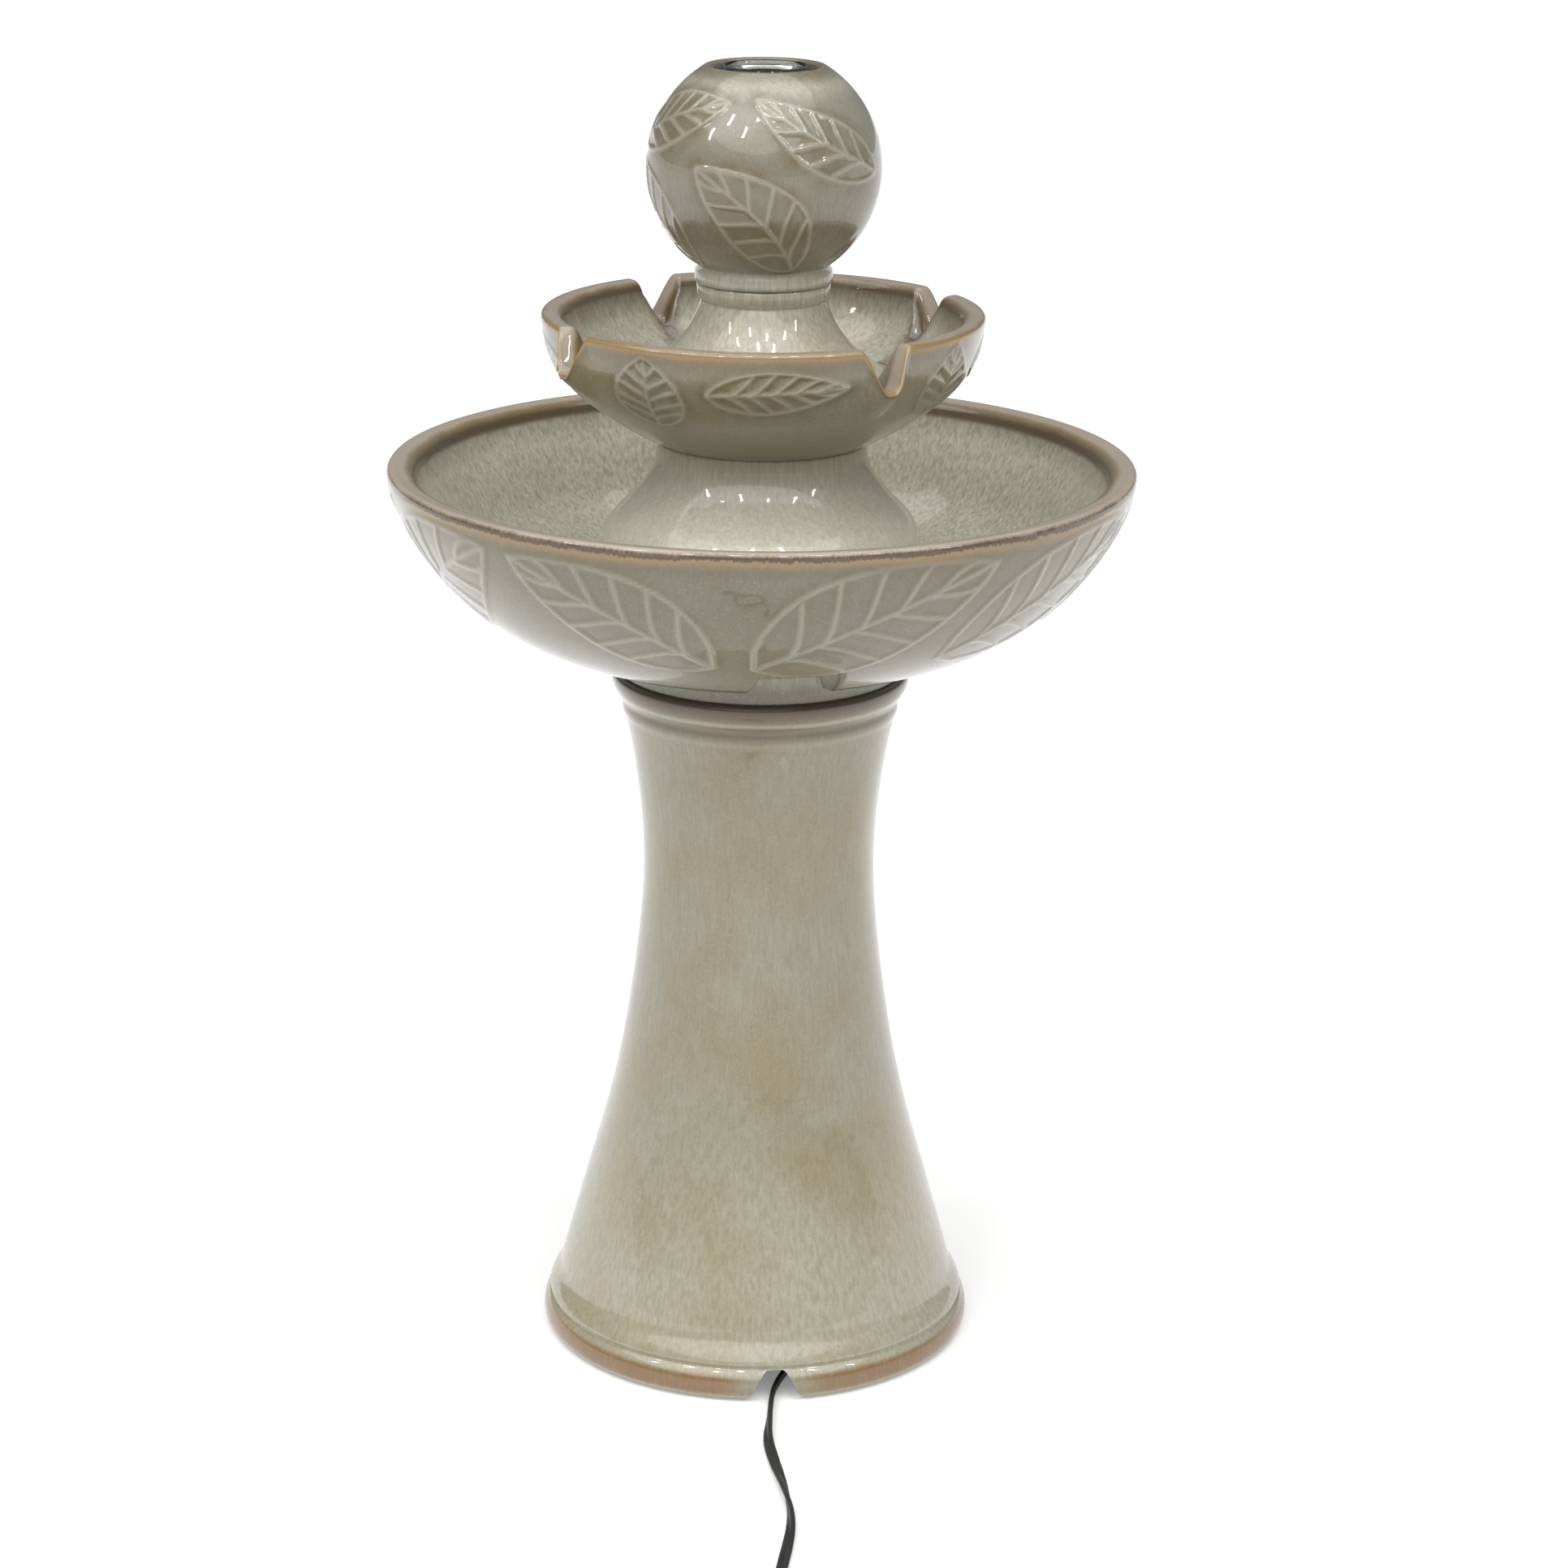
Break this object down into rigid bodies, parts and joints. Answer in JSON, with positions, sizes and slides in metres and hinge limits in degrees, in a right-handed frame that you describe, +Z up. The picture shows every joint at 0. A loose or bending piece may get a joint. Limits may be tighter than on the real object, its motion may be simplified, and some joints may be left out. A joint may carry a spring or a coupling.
{
  "type": "tabletop water fountain",
  "caption": "Tiered ceramic fountain: wide basin on a flared pedestal, bell pump cover, upper bowl with pouring spouts, and a globe with a clear cup, fed by a mains pump.",
  "frame": {"origin": "centre of the pedestal's foot, on the surface that the fountain stands on", "axes": "+Z up the fountain's axis of revolution; -Y is the front, where the cord's notch is; +X to the right seen from the front"},
  "size_m": [0.4003, 0.6382, 0.7061],
  "materials": {
    "glazed_stoneware": "glossy grey-beige reactive glaze that breaks brown on edges",
    "clear_cup": "clear, polished",
    "clear_hose": "clear flexible PVC",
    "pump_plastic": "black moulded ABS, fine texture",
    "potting": "black cast epoxy",
    "lamination_steel": "stacked laminations",
    "copper_wire": "enamelled copper wire",
    "ferrite": "sintered ferrite",
    "shaft_ceramic": "ground white alumina",
    "black_rubber": "soft black rubber",
    "cord_pvc": "black PVC jacket, slight sheen",
    "plug_brass": "bare stamped brass"
  },
  "bodies": {
    "stand": {"pedestal": "glazed_stoneware", "cord": "cord_pvc", "cord_coil": "cord_pvc", "plug_body": "cord_pvc", "plug_blades": "plug_brass"},
    "basin": {"basin": "glazed_stoneware", "cord_grommet": "black_rubber", "inner_cord": "cord_pvc", "strain_relief": "black_rubber", "pump_housing": "pump_plastic", "stator_core": "lamination_steel", "stator_winding": "copper_wire", "potting_resin": "potting", "pump_volute": "pump_plastic", "rotor_shaft": "shaft_ceramic", "front_bush": "black_rubber", "rear_bush": "black_rubber", "outlet_nozzle": "pump_plastic", "nozzle_o_ring": "black_rubber", "suction_feet": "black_rubber", "supply_hose": "clear_hose", "jet_nozzle": "pump_plastic"},
    "strainer": {"intake_strainer": "pump_plastic"},
    "dial": {"flow_dial": "pump_plastic"},
    "rotor": {"impeller": "pump_plastic", "magnet_rotor": "ferrite"},
    "cover": {"pump_cover": "glazed_stoneware"},
    "bowl": {"upper_bowl": "glazed_stoneware", "column_stopper": "black_rubber"},
    "globe": {"globe": "glazed_stoneware"},
    "cup": {"water_cup": "clear_cup"}
  },
  "joints": [
    {"name": "basin_lift", "type": "slide", "parent": "stand", "child": "basin", "axis": [0, 0, 1], "range_m": [0, 0.12]},
    {"name": "cover_lift", "type": "slide", "parent": "basin", "child": "cover", "axis": [0, 0, 1], "range_m": [0, 0.3]},
    {"name": "bowl_lift", "type": "slide", "parent": "cover", "child": "bowl", "axis": [0, 0, 1], "range_m": [0, 0.2]},
    {"name": "globe_lift", "type": "slide", "parent": "bowl", "child": "globe", "axis": [0, 0, 1], "range_m": [0, 0.12]},
    {"name": "cup_lift", "type": "slide", "parent": "globe", "child": "cup", "axis": [0, 0, 1], "range_m": [0, 0.06]},
    {"name": "strainer_pull", "type": "slide", "parent": "basin", "child": "strainer", "axis": [0, -1, 0], "range_m": [0, 0.025]},
    {"name": "flow_dial_turn", "type": "hinge", "parent": "strainer", "child": "dial", "pos_m": [0, -0.027, 0.433], "axis": [0, -1, 0], "range_deg": [0, 120]},
    {"name": "impeller_spin", "type": "hinge", "parent": "basin", "child": "rotor", "pos_m": [0, 0.01, 0.433], "axis": [0, 1, 0], "continuous": true}
  ]
}
